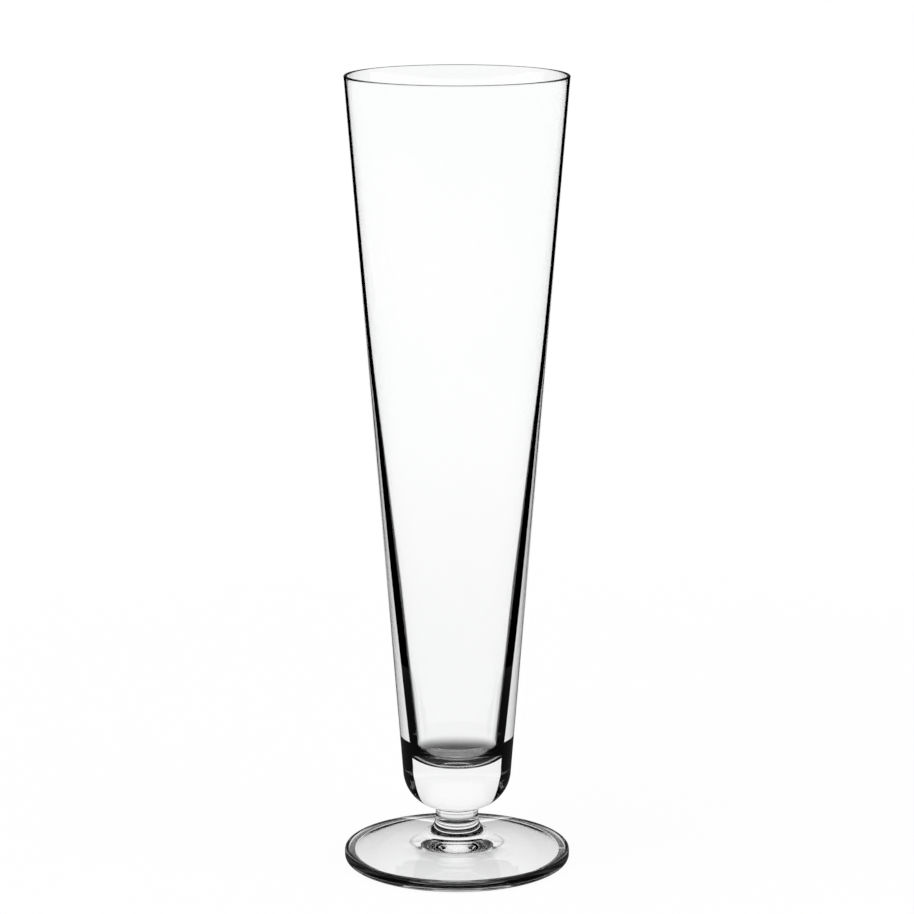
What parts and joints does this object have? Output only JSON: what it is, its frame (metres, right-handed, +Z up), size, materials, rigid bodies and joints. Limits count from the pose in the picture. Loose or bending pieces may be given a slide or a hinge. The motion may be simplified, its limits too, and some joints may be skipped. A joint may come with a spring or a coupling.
{
  "type": "pilsner glass",
  "caption": "Tall tapered clear drinking glass: a thin-rimmed bowl with a thick base on a solid knop, a short stem and a round sloping foot.",
  "frame": {"origin": "centre of the foot's underside, on the surface that the glass stands on", "axes": "+Z up along the glass's axis of symmetry, from the foot to the rim; X and Y lie in the table's plane"},
  "size_m": [0.0728, 0.0728, 0.2544],
  "materials": {
    "bowl_glass": "clear fire-polished",
    "knop_glass": "clear fire-polished",
    "stem_glass": "clear fire-polished",
    "foot_glass": "clear fire-polished"
  },
  "bodies": {
    "root": {"bowl": "bowl_glass", "knop": "knop_glass", "stem": "stem_glass", "foot": "foot_glass"}
  },
  "joints": []
}
